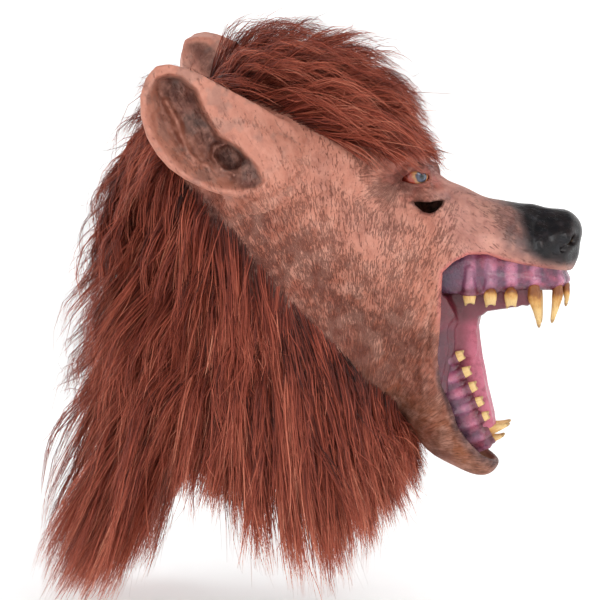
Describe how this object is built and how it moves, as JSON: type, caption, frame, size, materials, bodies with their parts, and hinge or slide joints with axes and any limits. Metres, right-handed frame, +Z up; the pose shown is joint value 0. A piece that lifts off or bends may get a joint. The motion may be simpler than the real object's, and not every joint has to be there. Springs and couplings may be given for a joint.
{
  "type": "latex wolf mask",
  "caption": "Over-the-head latex wolf mask with a snarling open mouth, cupped ears, moulded teeth and gums, and a long faux-fur mane.",
  "frame": {"origin": "centre of the wearer's head", "axes": "+Z up, the face looks along -Y, the mask's right side is -X"},
  "size_m": [0.2255, 0.3662, 0.3962],
  "materials": {
    "face_latex": "painted latex, pinkish tan with brown wash, satin",
    "hood_latex": "painted latex, brown, satin",
    "jaw_latex": "painted latex, orange brown, satin",
    "ear_latex": "painted latex, pinkish tan, satin",
    "eye": "painted and glossed",
    "mouth": "painted latex, pink purple, slightly glossy",
    "gum": "painted latex, mauve, slightly glossy",
    "tooth": "ivory with ochre stains",
    "fur": "long-pile faux fur, reddish brown"
  },
  "bodies": {
    "head": {"face_shell": "face_latex", "hood_shell": "hood_latex", "eye_right": "eye", "eye_left": "eye", "palate": "mouth", "throat_lining": "mouth", "upper_gum": "gum", "upper_molar_right": "tooth", "upper_rear_premolar_right": "tooth", "upper_front_premolar_right": "tooth", "upper_canine_right": "tooth", "upper_corner_incisor_right": "tooth", "upper_incisor_right": "tooth", "upper_molar_left": "tooth", "upper_rear_premolar_left": "tooth", "upper_front_premolar_left": "tooth", "upper_canine_left": "tooth", "upper_corner_incisor_left": "tooth", "upper_incisor_left": "tooth", "fur_crown": "fur", "fur_nape": "fur"},
    "jaw": {"lower_jaw": "jaw_latex", "mouth_floor": "mouth", "lower_gum": "gum", "lower_rear_molar_right": "tooth", "lower_molar_right": "tooth", "lower_rear_premolar_right": "tooth", "lower_premolar_right": "tooth", "lower_front_premolar_right": "tooth", "lower_canine_right": "tooth", "lower_incisor_right": "tooth", "lower_rear_molar_left": "tooth", "lower_molar_left": "tooth", "lower_rear_premolar_left": "tooth", "lower_premolar_left": "tooth", "lower_front_premolar_left": "tooth", "lower_canine_left": "tooth", "lower_incisor_left": "tooth"},
    "ear_right": {"ear_right": "ear_latex"},
    "ear_left": {"ear_left": "ear_latex"},
    "mane_back": {"mane_back": "fur"},
    "mane_right": {"mane_right": "fur"},
    "mane_left": {"mane_left": "fur"}
  },
  "joints": [
    {"name": "jaw_hinge", "type": "hinge", "parent": "head", "child": "jaw", "pos_m": [0, -0.098, -0.044], "axis": [1, 0, 0], "range_deg": [-18, 5], "stiffness_Nm_per_rad": 0.6},
    {"name": "ear_right_fold", "type": "hinge", "parent": "head", "child": "ear_right", "pos_m": [-0.092, 0.004, 0.045], "axis": [-0.1496, 0.7036, -0.6947], "range_deg": [-12, 12], "stiffness_Nm_per_rad": 0.25},
    {"name": "ear_left_fold", "type": "hinge", "parent": "head", "child": "ear_left", "pos_m": [0.085, 0.012, 0.074], "axis": [0.1444, 0.6795, -0.7193], "range_deg": [-12, 12], "stiffness_Nm_per_rad": 0.25},
    {"name": "mane_back_swing", "type": "hinge", "parent": "head", "child": "mane_back", "pos_m": [0, 0.128, -0.105], "axis": [1, 0, 0], "range_deg": [-5, 35]},
    {"name": "mane_right_swing", "type": "hinge", "parent": "head", "child": "mane_right", "pos_m": [-0.08, -0.022, -0.105], "axis": [0, 1, 0], "range_deg": [-5, 30]},
    {"name": "mane_left_swing", "type": "hinge", "parent": "head", "child": "mane_left", "pos_m": [0.08, -0.022, -0.105], "axis": [0, -1, 0], "range_deg": [-5, 30]}
  ]
}
